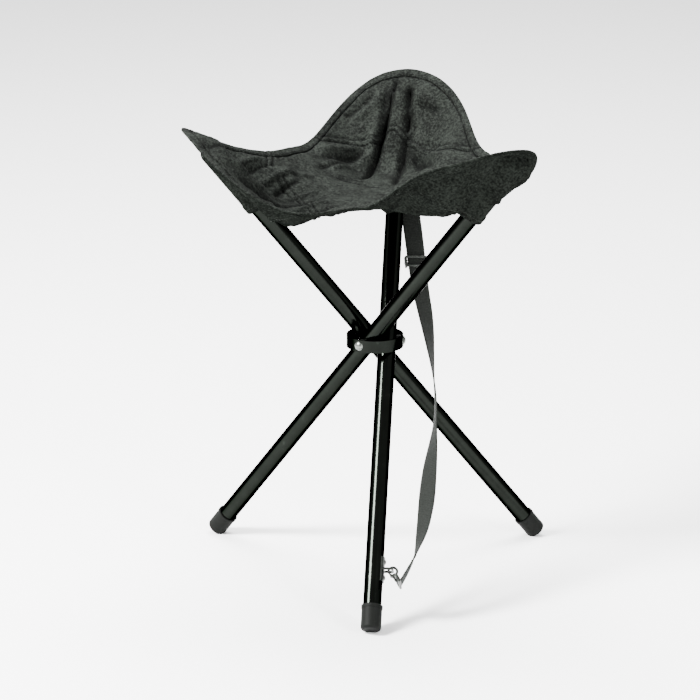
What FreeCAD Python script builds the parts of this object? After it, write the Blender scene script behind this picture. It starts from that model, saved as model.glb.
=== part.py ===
import FreeCAD, Part
import math
import os

# Three leg folding stool. Three tubes pass inside one steel ring, each turning on a rivet
# that runs radially through the ring, and carry a cloth seat on their upper ends.
# Millimetres, +Z up, origin on the floor under the ring's axis.

Vector = FreeCAD.Vector
X_AXIS = Vector(1, 0, 0)
Y_AXIS = Vector(0, 1, 0)
Z_AXIS = Vector(0, 0, 1)
ORIGIN = Vector(0, 0, 0)

# How far a cutting shape runs past what it cuts
OVERSHOOT = 1.0

# Legs
LEG_ANGLES = {"a": 120.0, "b": 240.0, "c": 0.0}
LEG_TILT = 39.3
TUBE_R = 9.5
TUBE_WALL = 1.0
LEG_BELOW = 321.0
LEG_ABOVE = 280.0
PIVOT_RADIUS = 13.0

# Ring, rivets and spacers
RING_R = 30.0
RING_THICKNESS = 2.0
RING_HEIGHT = 13.0
RIVET_R = 2.5
RIVET_PLAY = 0.05
RIVET_HEAD_R = 5.0
RIVET_HEAD_RISE = 2.6
RIVET_TAIL_R = 3.5
RIVET_TAIL_THICKNESS = 1.2
RIVET_TAIL_GAP = 0.05
SPACER_R = 5.5

# Feet
CAP_R = 10.6
CAP_COLLAR_R = 11.1
CAP_COLLAR_LENGTH = 3.0
CAP_LENGTH = 26.0
CAP_FLOOR = 3.5
CAP_EDGE = 3.0
PAD_DEPTH = 0.9

# Tube plugs and seat pockets
PLUG_DEPTH = 14.0
PLUG_HEAD = 3.0
PLUG_EDGE = 2.0
POCKET_R = 10.6
POCKET_WALL = 0.9
POCKET_FROM = 200.0
POCKET_END_GAP = 0.6
POCKET_EDGE = 3.0

# Seat panel: a bowl that runs out to three tips, each lying on the upper side of a tube
SEAT_CENTRE_Z = 406.0
SEAT_THICKNESS = 2.0
SEAT_LIFT = 13.4
SEAT_KNEE = 176.0
SEAT_FOOT_SOFTNESS = 6.0
SEAT_KNEE_SOFTNESS = 2.0
SEAT_MEAN_R = 160.3
SEAT_LOBE = 39.6
SEAT_SQUARE = 4.4
SEAT_BOWL_POWER = 2.4
PETAL_POWER = 3
TWIST_FROM = 0.3
TIP_DROP_POWER = 16
TIP_DROP_NARROWNESS = 10
HELD_HALF_WIDTH = 26.0
HELD_FADE = 14.0
SEAT_RINGS = (0.12, 0.3, 0.45, 0.55, 0.65, 0.75, 0.84, 0.91, 0.96, 1.0)
SEAT_DIRECTIONS = 48

# The hem at each tip: height, how far one side stands above the other, the curl of its two
# sides, its turn in plan in degrees, extra reach, and how sharply it rises to the tip
TIP_Z = {"a": 492.8, "b": 491.6, "c": 500.0}
TIP_TWIST = {"a": -14.2, "b": -32.0, "c": -11.4}
TIP_CURL = {"a": 1.0, "b": 11.0, "c": 2.4}
TIP_TURN = {"a": 0.5, "b": -5.75, "c": 0.5}
TIP_REACH = {"a": 4.3, "b": -1.5, "c": -1.1}
TIP_SHARPNESS = {"a": 5.3, "b": 3.4, "c": 3.35}

# The hem at the middle of each edge: height and how far it bows out
EDGE_Z = {"ab": 426.0, "bc": 444.0, "ca": 439.3}
EDGE_BOW = {"ab": -5.0, "bc": 2.7, "ca": 2.7}

# Strap: its middle line in the frame of leg c, as (outwards, along the leg)
STRAP_WIDTH = 20.0
STRAP_THICKNESS = 1.5
STRAP_ROUTE = [
    (11.6, 196.0),
    (12.0, 172.0),
    (19.5, 136.0),
    (30.5, 66.0),
    (40.5, 24.0),
    (48.5, -26.0),
    (55.0, -68.0),
    (54.5, -104.0),
    (51.5, -146.0),
    (50.0, -188.0),
    (46.5, -220.0),
    (39.5, -247.0),
    (27.3, -270.5),
]
STRAP_ARC_SHARE = 0.45
STRAP_LOOP_GAP = 0.1

# Slider on the strap
SLIDER_LENGTH = 13.0
SLIDER_RAIL = 2.2
SLIDER_HALF_DEPTH = 2.6
SLIDER_GAP = 0.35
SLIDER_BAR = 2.4
SLIDER_RUN = 2
SLIDER_SHARE = 0.66

# Snap hook, in its own frame: +Z from the strap's bar towards the eye it holds
HOOK_LEAN = 31.9
HOOK_WIRE_R = 1.3
HOOK_BOW_R = 4.6
HOOK_BAR_R = 1.4
HOOK_RING_HEIGHT = 6.5
HOOK_RING_SIDE_GAP = 0.8
HOOK_BOSS_R = 3.1
HOOK_BOSS_HALF = 1.6
HOOK_PIN_R = 1.5
HOOK_PIN_HEAD_R = 2.5
HOOK_PIN_HEAD = 1.0
HOOK_PLAY = 0.08
HOOK_COLLAR_HEIGHT = 2.6
HOOK_NOSE_ANGLE = 130.0
GATE_R = 1.0
GATE_EYE_R = 1.3
GATE_PIN_R = 0.5
GATE_PIVOT = (-3.5, -3.1)
GATE_TIP = (-3.9, 1.0)
GATE_HALF_WIDTH = 0.8
GATE_PIN_PLAY = 0.05
GATE_BORE_REACH = 4.0
EAR_FROM = 1.9
EAR_THICKNESS = 0.8
EAR_SINK = 0.4
EAR_INNER_X = 1.0
SPRING_WIRE_R = 0.16
SPRING_TURNS = 2
SPRING_PITCH = 0.288
SPRING_GAP = 0.1
SPRING_SIDE_GAP = 0.3

# Eye on leg c
EYE_WIRE_R = 1.25
EYE_HALF_WIDTH = 5.5
EYE_IN_BOW = (0.6, 1.4)
SADDLE_R = 10.8
SADDLE_LENGTH = 26.0
SADDLE_HALF_WIDTH = 6.5
EYE_RIVET_R = 1.6
EYE_RIVET_SPACING = 17.0
EYE_RIVET_HEAD_R = 2.9
EYE_RIVET_HEAD = 1.3
EYE_TAIL_R = 2.3
EYE_TAIL_GAP = 0.4
EYE_TAIL_THICKNESS = 1.6

# Worked out from the above
TILT = math.radians(LEG_TILT)
TUBE_BORE_R = TUBE_R - TUBE_WALL
RING_BORE_R = RING_R - RING_THICKNESS
PIVOT_Z = (
    (LEG_BELOW - CAP_EDGE) * math.cos(TILT)
    + (CAP_R - CAP_EDGE) * math.sin(TILT)
    + CAP_EDGE
    - PAD_DEPTH
)
TUBE_INNER_X = PIVOT_RADIUS - TUBE_R
TUBE_OUTER_X = PIVOT_RADIUS + TUBE_R
HOOK_BOW_Z = (
    HOOK_RING_HEIGHT + HOOK_BOSS_HALF + HOOK_PLAY + HOOK_COLLAR_HEIGHT + HOOK_BOW_R
)


def placed(shape, placement):
    moved = shape.copy()
    moved.Placement = placement.multiply(moved.Placement)
    return moved


def leg_placement(letter):
    """The leg's frame: origin at its pivot, +Z up the tube, +X out along the rivet."""
    turned = FreeCAD.Placement(ORIGIN, FreeCAD.Rotation(Z_AXIS, LEG_ANGLES[letter]))
    tilted = FreeCAD.Placement(
        Vector(PIVOT_RADIUS, 0, PIVOT_Z), FreeCAD.Rotation(X_AXIS, -LEG_TILT)
    )
    return turned.multiply(tilted)


def hub_placement(letter):
    """A level frame at the ring's centre, with +X out along the leg's rivet."""
    return FreeCAD.Placement(
        Vector(0, 0, PIVOT_Z), FreeCAD.Rotation(Z_AXIS, LEG_ANGLES[letter])
    )


def rod(start, end, radius):
    along = end - start
    return Part.makeCylinder(radius, along.Length, start, along)


def ball(centre, radius):
    return Part.makeSphere(radius, centre)


def block(low, high):
    size = high - low
    return Part.makeBox(size.x, size.y, size.z, low)


def dome(base, direction, radius, rise):
    """A rivet's domed head: the cap of a sphere, cut off by the face it sits on."""
    sphere_r = (radius**2 + rise**2) / (2 * rise)
    centre = base + direction * (rise - sphere_r)
    keep = Part.makeCylinder(radius, rise, base, direction)
    return Part.makeSphere(sphere_r, centre).common(keep)


def round_edge(solid, radius, centre):
    """The solid with the circular edge that is centred on a point rounded off."""
    edges = [
        edge
        for edge in solid.Edges
        if hasattr(edge.Curve, "Radius") and (edge.Curve.Center - centre).Length < 1e-6
    ]
    return solid.makeFillet(radius, edges)


def hub_ring():
    low = Vector(0, 0, PIVOT_Z - RING_HEIGHT / 2)
    ring = Part.makeCylinder(RING_R, RING_HEIGHT, low)
    ring = ring.cut(Part.makeCylinder(RING_BORE_R, RING_HEIGHT, low))
    for letter in LEG_ANGLES:
        hole = rod(
            Vector(RING_BORE_R - OVERSHOOT, 0, 0), Vector(RING_R + OVERSHOOT, 0, 0), RIVET_R
        )
        ring = ring.cut(placed(hole, hub_placement(letter)))
    return ring


def pivot_rivet(letter):
    tail_x = TUBE_INNER_X - RIVET_TAIL_THICKNESS
    shank = rod(Vector(tail_x, 0, 0), Vector(RING_R, 0, 0), RIVET_R)
    tail = rod(Vector(tail_x, 0, 0), Vector(TUBE_INNER_X - RIVET_TAIL_GAP, 0, 0), RIVET_TAIL_R)
    head = dome(Vector(RING_R, 0, 0), X_AXIS, RIVET_HEAD_R, RIVET_HEAD_RISE)
    curved = Part.makeCylinder(RING_R, RING_HEIGHT, Vector(0, 0, -RING_HEIGHT / 2))
    foot = rod(Vector(RING_R - RING_THICKNESS / 2, 0, 0), Vector(RING_R, 0, 0), RIVET_HEAD_R).cut(curved)
    rivet = shank.fuse([tail, head, foot]).removeSplitter()
    return placed(rivet, hub_placement(letter))


def pivot_spacer(letter):
    length = RING_BORE_R - TUBE_OUTER_X - RIVET_PLAY
    start = Vector(TUBE_OUTER_X + RIVET_PLAY, 0, 0)
    sleeve = Part.makeCylinder(SPACER_R, length, start, X_AXIS)
    sleeve = sleeve.cut(Part.makeCylinder(RIVET_R, length, start, X_AXIS))
    bore = Part.makeCylinder(RING_BORE_R, RING_HEIGHT, Vector(0, 0, -RING_HEIGHT / 2))
    return placed(sleeve.common(bore), hub_placement(letter))


def leg_tube(letter):
    bottom = Vector(0, 0, CAP_FLOOR - LEG_BELOW)
    top = Vector(0, 0, LEG_ABOVE)
    tube = rod(bottom, top, TUBE_R).cut(rod(bottom, top, TUBE_BORE_R))
    reach = TUBE_R + OVERSHOOT
    pivot_hole = rod(Vector(-reach, 0, 0), Vector(reach, 0, 0), RIVET_R + RIVET_PLAY)
    tube = tube.cut(pivot_hole)
    if letter == "c":
        for z in eye_rivet_heights():
            hole = rod(Vector(0, 0, z), Vector(reach, 0, z), EYE_RIVET_R)
            tube = tube.cut(hole)
    return placed(tube, leg_placement(letter))


def foot_cap(letter):
    end = Vector(0, 0, -LEG_BELOW)
    top = Vector(0, 0, CAP_LENGTH - LEG_BELOW)
    collar_from = top - Vector(0, 0, CAP_COLLAR_LENGTH)
    cap = round_edge(rod(end, top, CAP_R), CAP_EDGE, end)
    cap = cap.fuse(rod(collar_from, top, CAP_COLLAR_R))
    cap = cap.cut(rod(end + Vector(0, 0, CAP_FLOOR), top, TUBE_R))
    cap = placed(cap, leg_placement(letter))
    reach = 2 * LEG_BELOW
    below_floor = block(Vector(-reach, -reach, -reach), Vector(reach, reach, 0))
    return cap.cut(below_floor)


def top_plug(letter):
    stem_from = Vector(0, 0, LEG_ABOVE - PLUG_DEPTH)
    rim = Vector(0, 0, LEG_ABOVE)
    end = Vector(0, 0, LEG_ABOVE + PLUG_HEAD)
    head = round_edge(rod(rim, end, TUBE_R), PLUG_EDGE, end)
    plug = rod(stem_from, rim, TUBE_BORE_R).fuse(head)
    return placed(plug, leg_placement(letter))


def seat_pocket(letter):
    start = Vector(0, 0, POCKET_FROM)
    inner_end = Vector(0, 0, LEG_ABOVE + PLUG_HEAD + POCKET_END_GAP)
    outer_end = inner_end + Vector(0, 0, POCKET_WALL)
    pocket = round_edge(rod(start, outer_end, POCKET_R), POCKET_EDGE, outer_end)
    inside = round_edge(
        rod(start, inner_end, POCKET_R - POCKET_WALL),
        POCKET_EDGE - POCKET_WALL,
        inner_end,
    )
    return placed(pocket.cut(inside), leg_placement(letter))


def ramp(x, softness):
    """Zero below 0 and x above it, joined by a smooth bend."""
    return softness * math.log1p(math.exp(x / softness))


def over_leg(letter, point):
    """How far a point lies along a leg in plan, and how far across it."""
    turn = math.radians(LEG_ANGLES[letter])
    along = point.y * math.cos(turn) - point.x * math.sin(turn)
    across = point.x * math.cos(turn) + point.y * math.sin(turn) - PIVOT_RADIUS
    return along, across


def seat_petal_height(letter, point):
    """The seat's height where it lies along a leg: level, up the tube, level past its end."""
    along, _ = over_leg(letter, point)
    leaves_level = (SEAT_CENTRE_Z - PIVOT_Z - SEAT_LIFT / math.sin(TILT)) * math.tan(TILT)
    rise = ramp(along - leaves_level, SEAT_FOOT_SOFTNESS)
    rise -= ramp(along - SEAT_KNEE, SEAT_KNEE_SOFTNESS)
    return SEAT_CENTRE_Z + rise / math.tan(TILT)


def seat_corner_angle():
    """How far round from its rivet a leg's upper end stands."""
    return math.degrees(math.atan2(LEG_ABOVE * math.sin(TILT), PIVOT_RADIUS))


def seat_sector(direction):
    """The nearest tip's leg, the angle from that tip in radians, and the edge."""
    around = (direction - LEG_ANGLES["c"] - seat_corner_angle()) % 360
    nearest = round(around / 120)
    edge = ("ca", "ab", "bc")[int(around // 120)]
    return "cabc"[nearest], math.radians(around - 120 * nearest), edge


def level_point(radius, degrees):
    angle = math.radians(degrees)
    return Vector(radius * math.cos(angle), radius * math.sin(angle), 0)


def seat_hem(direction):
    """The point of the hem in a direction."""
    tip, angle, edge = seat_sector(direction)
    near = math.cos(1.5 * angle)
    radius = SEAT_MEAN_R + SEAT_LOBE * math.cos(3 * angle) + SEAT_SQUARE * math.cos(6 * angle)
    radius += TIP_REACH[tip] * near**2 + EDGE_BOW[edge] * (1 - near) ** 2
    point = level_point(radius, direction + TIP_TURN[tip] * near**2)
    point.z = EDGE_Z[edge] + (TIP_Z[tip] - EDGE_Z[edge]) * near ** TIP_SHARPNESS[tip]
    point.z += TIP_TWIST[tip] * math.sin(3 * angle) * near
    point.z += TIP_CURL[tip] * math.sin(6 * angle) * near
    return point


def smooth_step(x):
    x = min(max(x, 0.0), 1.0)
    return x * x * (3 - 2 * x)


def seat_point(direction, share):
    """A point of the seat's middle surface: direction in degrees, share of the way out."""
    tip, angle, edge = seat_sector(direction)
    hem = seat_hem(direction)
    point = Vector(hem.x * share, hem.y * share, 0)
    nearness = math.cos(1.5 * angle) ** 2
    petal_share = (nearness * (2 - nearness)) ** PETAL_POWER
    bowl = SEAT_CENTRE_Z + (EDGE_Z[edge] - SEAT_CENTRE_Z) * share**SEAT_BOWL_POWER
    point.z = petal_share * seat_petal_height(tip, point) + (1 - petal_share) * bowl
    at_hem = petal_share * seat_petal_height(tip, hem) + (1 - petal_share) * EDGE_Z[edge]
    centred_tip = level_point(
        math.hypot(hem.x, hem.y), seat_corner_angle() + LEG_ANGLES[tip]
    )
    tip_drop = TIP_Z[tip] - seat_petal_height(tip, centred_tip)
    tip_drop *= math.cos(1.5 * angle) ** TIP_DROP_NARROWNESS
    missing = hem.z - at_hem - tip_drop
    point.z += tip_drop * share**TIP_DROP_POWER
    along, across = over_leg(tip, point)
    held = math.exp(-((across / HELD_HALF_WIDTH) ** 4))
    held *= 1 - smooth_step((along - SEAT_KNEE) / HELD_FADE)
    point.z += missing * smooth_step((share - TWIST_FROM) / (1 - TWIST_FROM)) * (1 - held)
    return point


def seat_ring(share, lift):
    points = [
        seat_point(360 * i / SEAT_DIRECTIONS, share) + Vector(0, 0, lift)
        for i in range(SEAT_DIRECTIONS)
    ]
    if share == SEAT_RINGS[0]:
        level = sum(point.z for point in points) / len(points)
        points = [Vector(point.x, point.y, level) for point in points]
    curve = Part.BSplineCurve()
    curve.interpolate(Points=points, PeriodicFlag=True)
    return Part.Wire(curve.toShape())


def seat_panel():
    top = [seat_ring(share, SEAT_THICKNESS / 2) for share in SEAT_RINGS]
    under = [seat_ring(share, -SEAT_THICKNESS / 2) for share in reversed(SEAT_RINGS)]
    return Part.makeLoft(top + under, True, True)


def strap_points():
    return [Vector(x, 0, z) for x, z in STRAP_ROUTE]


def rounded_path(points):
    """Straight runs joined by tangent arcs, and the radius of each arc."""
    edges = []
    radii = []
    last = points[0]
    for before, corner, after in zip(points, points[1:], points[2:]):
        into = (corner - before).normalize()
        out = (after - corner).normalize()
        half_turn = into.getAngle(out) / 2
        run = min((corner - before).Length, (after - corner).Length)
        cut_back = STRAP_ARC_SHARE * run
        radii.append(cut_back / math.tan(half_turn))
        start = corner - into * cut_back
        end = corner + out * cut_back
        inwards = (out - into).normalize()
        sagitta = radii[-1] * (1 / math.cos(half_turn) - 1)
        edges.append(Part.LineSegment(last, start).toShape())
        edges.append(Part.Arc(start, corner + inwards * sagitta, end).toShape())
        last = end
    edges.append(Part.LineSegment(last, points[-1]).toShape())
    return Part.Wire(edges), radii


def strap():
    """A flat band whose lower end is sewn round the bar of the hook's ring."""
    points = strap_points()
    path, radii = rounded_path(points)
    half_width = STRAP_WIDTH / 2
    half_depth = STRAP_THICKNESS / 2
    section = Part.makePolygon(
        [
            points[0] + Vector(-half_depth, -half_width, 0),
            points[0] + Vector(half_depth, -half_width, 0),
            points[0] + Vector(half_depth, half_width, 0),
            points[0] + Vector(-half_depth, half_width, 0),
            points[0] + Vector(-half_depth, -half_width, 0),
        ]
    )
    band = path.makePipeShell([section], True, False)
    expected = STRAP_WIDTH * STRAP_THICKNESS * path.Length
    print("strap arc radii:", [round(radius) for radius in radii])
    print("strap length %.1f, volume / expected %.4f" % (path.Length, band.Volume / expected))
    hole_r = HOOK_BAR_R + STRAP_LOOP_GAP
    ends = [points[-1] - Y_AXIS * half_width, points[-1] + Y_AXIS * half_width]
    band = band.fuse(rod(*ends, hole_r + STRAP_THICKNESS)).cut(rod(*ends, hole_r))
    return placed(band, leg_placement("c"))


def slider_placement():
    """A frame on the strap's long straight run, +Z along it, +X off its face."""
    start, end = strap_points()[SLIDER_RUN : SLIDER_RUN + 2]
    along = end - start
    lean = math.degrees(math.atan2(along.x, along.z))
    middle = start + along * SLIDER_SHARE
    return FreeCAD.Placement(middle, FreeCAD.Rotation(Y_AXIS, lean))


def strap_slider():
    """Three bars and two rails: the strap runs under the end bars and over the middle one."""
    inner = STRAP_WIDTH / 2 + SLIDER_GAP
    outer = inner + SLIDER_RAIL
    half_length = SLIDER_LENGTH / 2
    depth = SLIDER_HALF_DEPTH
    face = STRAP_THICKNESS / 2 + SLIDER_GAP
    pieces = [
        block(Vector(-depth, inner, -half_length), Vector(depth, outer, half_length)),
        block(Vector(-depth, -outer, -half_length), Vector(depth, -inner, half_length)),
        block(
            Vector(-depth, -inner, -SLIDER_BAR / 2),
            Vector(-face, inner, SLIDER_BAR / 2),
        ),
    ]
    for end in (-1, 1):
        middle = end * (half_length - SLIDER_BAR / 2)
        pieces.append(
            block(
                Vector(face, -inner, middle - SLIDER_BAR / 2),
                Vector(depth, inner, middle + SLIDER_BAR / 2),
            )
        )
    slider = pieces[0].fuse(pieces[1:]).removeSplitter()
    slider = placed(slider, slider_placement())
    return placed(slider, leg_placement("c"))


def hook_placement():
    """The hook's frame in leg c's: origin on the strap's bar, +Z towards the eye."""
    return FreeCAD.Placement(
        strap_points()[-1], FreeCAD.Rotation(Y_AXIS, -HOOK_LEAN)
    )


def hook_part(shape):
    return placed(placed(shape, hook_placement()), leg_placement("c"))


def in_bow(offset, y=0.0):
    """A point of the hook's frame, given from the centre of its bow."""
    return Vector(offset[0], y, HOOK_BOW_Z + offset[1])


def hook_ring():
    """The strap's bar, two sides and a top bar with the boss that the hook turns in."""
    half = STRAP_WIDTH / 2 + HOOK_BAR_R + HOOK_RING_SIDE_GAP
    corners = [
        Vector(0, -half, 0),
        Vector(0, half, 0),
        Vector(0, half, HOOK_RING_HEIGHT),
        Vector(0, -half, HOOK_RING_HEIGHT),
    ]
    pieces = [ball(corner, HOOK_BAR_R) for corner in corners]
    for i, corner in enumerate(corners):
        pieces.append(rod(corner, corners[(i + 1) % 4], HOOK_BAR_R))
    boss_low = Vector(0, 0, HOOK_RING_HEIGHT - HOOK_BOSS_HALF)
    boss_high = Vector(0, 0, HOOK_RING_HEIGHT + HOOK_BOSS_HALF)
    pieces.append(rod(boss_low, boss_high, HOOK_BOSS_R))
    ring = pieces[0].fuse(pieces[1:]).removeSplitter()
    return hook_part(ring.cut(rod(boss_low, boss_high, HOOK_PIN_R + HOOK_PLAY)))


def hook_body():
    """A swivel pin with a head, a collar, two ears for the gate and the bow itself."""
    boss_low = HOOK_RING_HEIGHT - HOOK_BOSS_HALF
    boss_high = HOOK_RING_HEIGHT + HOOK_BOSS_HALF
    collar_low = boss_high + HOOK_PLAY
    head_high = boss_low - HOOK_PLAY
    head_low = head_high - HOOK_PIN_HEAD
    pin = rod(Vector(0, 0, head_low), Vector(0, 0, collar_low), HOOK_PIN_R)
    head = rod(Vector(0, 0, head_low), Vector(0, 0, head_high), HOOK_PIN_HEAD_R)
    collar = rod(
        Vector(0, 0, collar_low),
        Vector(0, 0, collar_low + HOOK_COLLAR_HEIGHT),
        HOOK_BOSS_R,
    )
    sweep = HOOK_NOSE_ANGLE + 90
    bow = Part.makeTorus(HOOK_BOW_R, HOOK_WIRE_R, ORIGIN, Z_AXIS, -180, 180, sweep)
    from_collar = FreeCAD.Rotation(-Z_AXIS, X_AXIS, -Y_AXIS, "XYZ")
    bow = placed(bow, FreeCAD.Placement(in_bow((0, 0)), from_collar))
    nose_angle = math.radians(HOOK_NOSE_ANGLE)
    nose = ball(
        in_bow((HOOK_BOW_R * math.cos(nose_angle), HOOK_BOW_R * math.sin(nose_angle))),
        HOOK_WIRE_R,
    )
    body = pin.fuse([head, collar, bow, nose] + gate_ears())
    return hook_part(body.removeSplitter())


def gate_bore(radius):
    """A rod along the gate's pivot, longer than anything on it."""
    reach = GATE_BORE_REACH
    return rod(in_bow(GATE_PIVOT, -reach), in_bow(GATE_PIVOT, reach), radius)


def gate_ears():
    ears = []
    for side in (-1, 1):
        y_low = min(side * EAR_FROM, side * (EAR_FROM + EAR_THICKNESS))
        y_high = y_low + EAR_THICKNESS
        pivot_low = in_bow(GATE_PIVOT, y_low)
        pivot_high = in_bow(GATE_PIVOT, y_high)
        ears.append(rod(pivot_low, pivot_high, GATE_EYE_R))
        ears.append(
            block(
                in_bow((GATE_PIVOT[0], -HOOK_BOW_R - EAR_SINK), y_low),
                in_bow((EAR_INNER_X, GATE_PIVOT[1]), y_high),
            )
        )
    bore = gate_bore(GATE_PIN_R)
    return [ear.cut(bore) for ear in ears]


def gate_pin():
    reach = EAR_FROM + EAR_THICKNESS
    return hook_part(rod(in_bow(GATE_PIVOT, -reach), in_bow(GATE_PIVOT, reach), GATE_PIN_R))


def hook_gate():
    eye_low = in_bow(GATE_PIVOT, -GATE_HALF_WIDTH)
    eye_high = in_bow(GATE_PIVOT, GATE_HALF_WIDTH)
    tip = in_bow(GATE_TIP)
    gate = rod(in_bow(GATE_PIVOT), tip, GATE_R)
    gate = gate.fuse([ball(tip, GATE_R), rod(eye_low, eye_high, GATE_EYE_R)])
    return hook_part(gate.cut(gate_bore(GATE_PIN_R + GATE_PIN_PLAY)))


def gate_spring():
    """Turns of wire on each side of the gate's eye, round its pin."""
    coil_r = GATE_PIN_R + SPRING_WIRE_R + SPRING_GAP
    first = GATE_HALF_WIDTH + SPRING_SIDE_GAP + SPRING_WIRE_R
    coils = []
    for side in (-1, 1):
        turns = []
        for turn in range(SPRING_TURNS):
            centre = in_bow(GATE_PIVOT, side * (first + SPRING_PITCH * turn))
            turns.append(Part.makeTorus(coil_r, SPRING_WIRE_R, centre, Y_AXIS))
        coils.append(turns[0].fuse(turns[1:]))
    return hook_part(Part.makeCompound(coils))


def eye_centre():
    """The middle of the eye's crossbar in leg c's frame."""
    return hook_placement().multVec(in_bow(EYE_IN_BOW))


def eye_rivet_heights():
    return [eye_centre().z + side * EYE_RIVET_SPACING / 2 for side in (-1, 1)]


def strap_eye():
    """A saddle plate bent round the tube, with a wire staple that stands off it."""
    centre = eye_centre()
    low = centre.z - SADDLE_LENGTH / 2
    high = centre.z + SADDLE_LENGTH / 2
    plate = rod(Vector(0, 0, low), Vector(0, 0, high), SADDLE_R)
    plate = plate.common(
        block(Vector(0, -SADDLE_HALF_WIDTH, low), Vector(SADDLE_R, SADDLE_HALF_WIDTH, high))
    )
    corners = [Vector(centre.x, side * EYE_HALF_WIDTH, centre.z) for side in (-1, 1)]
    pieces = [rod(*corners, EYE_WIRE_R)]
    for corner in corners:
        pieces.append(ball(corner, EYE_WIRE_R))
        pieces.append(rod(Vector(TUBE_BORE_R, corner.y, corner.z), corner, EYE_WIRE_R))
    eye = plate.fuse(pieces).removeSplitter()
    inside = rod(Vector(0, 0, low - OVERSHOOT), Vector(0, 0, high + OVERSHOOT), TUBE_R)
    eye = eye.cut(inside)
    for z in eye_rivet_heights():
        eye = eye.cut(rod(Vector(0, 0, z), Vector(2 * TUBE_R, 0, z), EYE_RIVET_R))
    return placed(eye, leg_placement("c"))


def strap_eye_rivets():
    tail_end = TUBE_BORE_R - EYE_TAIL_GAP
    tail_start = tail_end - EYE_TAIL_THICKNESS
    rivets = []
    for z in eye_rivet_heights():
        tail = rod(Vector(tail_start, 0, z), Vector(tail_end, 0, z), EYE_TAIL_R)
        shank = rod(Vector(tail_start, 0, z), Vector(SADDLE_R, 0, z), EYE_RIVET_R)
        head = dome(Vector(SADDLE_R, 0, z), X_AXIS, EYE_RIVET_HEAD_R, EYE_RIVET_HEAD)
        rivets.append(shank.fuse([tail, head]).removeSplitter())
    return placed(Part.makeCompound(rivets), leg_placement("c"))


def save(name, shape):
    for solid in shape.Solids:
        if not solid.isValid():
            raise ValueError(name + " is not a valid solid")
    solids = shape.Solids[0] if len(shape.Solids) == 1 else Part.makeCompound(shape.Solids)
    solids.exportStep("parts/" + name + ".step")
    print("%-18s %d solid(s) %9.1f mm3" % (name, len(shape.Solids), shape.Volume))


def main():
    os.makedirs("parts", exist_ok=True)
    save("hub_ring", hub_ring())
    save("seat_panel", seat_panel())
    for letter in LEG_ANGLES:
        save("pivot_rivet_" + letter, pivot_rivet(letter))
        save("pivot_spacer_" + letter, pivot_spacer(letter))
        save("leg_tube_" + letter, leg_tube(letter))
        save("foot_cap_" + letter, foot_cap(letter))
        save("top_plug_" + letter, top_plug(letter))
        save("seat_pocket_" + letter, seat_pocket(letter))
    save("strap", strap())
    save("strap_slider", strap_slider())
    save("strap_eye", strap_eye())
    save("strap_eye_rivets", strap_eye_rivets())
    save("hook_ring", hook_ring())
    save("hook_body", hook_body())
    save("hook_gate", hook_gate())
    save("gate_pin", gate_pin())
    save("gate_spring", gate_spring())


main()
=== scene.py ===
"""Folding three leg stool: three crossed tubes riveted in a ring, a cloth seat and a carry strap.

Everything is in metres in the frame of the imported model: +Z up, the stool's axis at x = y = 0.
Sizes in the cloth and strap sections are written in millimetres times MM.
"""

import math

import bmesh
import bpy
import numpy as np
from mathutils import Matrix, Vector, noise


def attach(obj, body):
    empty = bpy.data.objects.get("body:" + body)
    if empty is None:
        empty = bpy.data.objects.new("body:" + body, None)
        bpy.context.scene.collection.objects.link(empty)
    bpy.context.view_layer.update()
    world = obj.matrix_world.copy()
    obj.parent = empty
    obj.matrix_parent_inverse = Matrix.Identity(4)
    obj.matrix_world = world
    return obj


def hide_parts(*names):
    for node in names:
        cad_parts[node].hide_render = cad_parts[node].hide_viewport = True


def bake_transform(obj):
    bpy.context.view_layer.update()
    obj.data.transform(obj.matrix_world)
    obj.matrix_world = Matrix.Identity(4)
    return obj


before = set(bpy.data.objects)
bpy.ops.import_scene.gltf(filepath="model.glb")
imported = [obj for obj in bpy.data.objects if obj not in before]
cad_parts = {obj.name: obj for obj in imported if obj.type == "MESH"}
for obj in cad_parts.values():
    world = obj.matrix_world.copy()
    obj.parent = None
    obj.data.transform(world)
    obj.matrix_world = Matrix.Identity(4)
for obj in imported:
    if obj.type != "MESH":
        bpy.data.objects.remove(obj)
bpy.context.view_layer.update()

MM = 0.001
UP = np.array([0.0, 0.0, 1.0])

# ---- The frame of tubes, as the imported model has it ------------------
LEG_ANGLES = {"c": 0.0, "a": 120.0, "b": 240.0}
LEG_TILT = math.radians(39.3)
PIVOT_RADIUS = 13.0 * MM
PIVOT_HEIGHT = 252.995 * MM
TUBE_R = 9.5 * MM
TUBE_TOP = 283.0 * MM
LEG_ABOVE = 280.0 * MM
SIN_TILT = math.sin(LEG_TILT)
COS_TILT = math.cos(LEG_TILT)

# ---- The seat's hem: plan radius and height round the three corners --
# Each corner has its leg's letter; the order is anticlockwise seen from above.
CORNERS = "cab"
CORNER_AZIMUTH = math.atan2(LEG_ABOVE * SIN_TILT, PIVOT_RADIUS)
SECTOR = 2 * math.pi / 3
HEM_RADIUS = 160.3 * MM
HEM_LOBE = 39.6 * MM
HEM_SQUARE = 4.4 * MM
# Per corner c, a, b: tip height, twist, second twist, turn in plan, reach, side reach, sharpness.
TIP_HEIGHT = np.array([500.0, 492.8, 491.6]) * MM
TIP_TWIST = np.array([-11.4, -14.2, -32.0]) * MM
TIP_CURL = np.array([2.4, 1.0, 11.0]) * MM
TIP_TURN = np.radians([0.5, 0.5, -5.75])
TIP_REACH = np.array([-1.1, 4.3, -1.5]) * MM
TIP_SIDE = np.array([-1.1, 1.2, 0.1]) * MM
TIP_SHARPNESS = np.array([3.35, 5.3, 3.4])
# Per edge ca, ab, bc: height of its middle and how far it bows out.
EDGE_HEIGHT = np.array([439.3, 426.0, 444.0]) * MM
EDGE_BOW = np.array([2.7, -5.0, 2.7]) * MM

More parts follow.
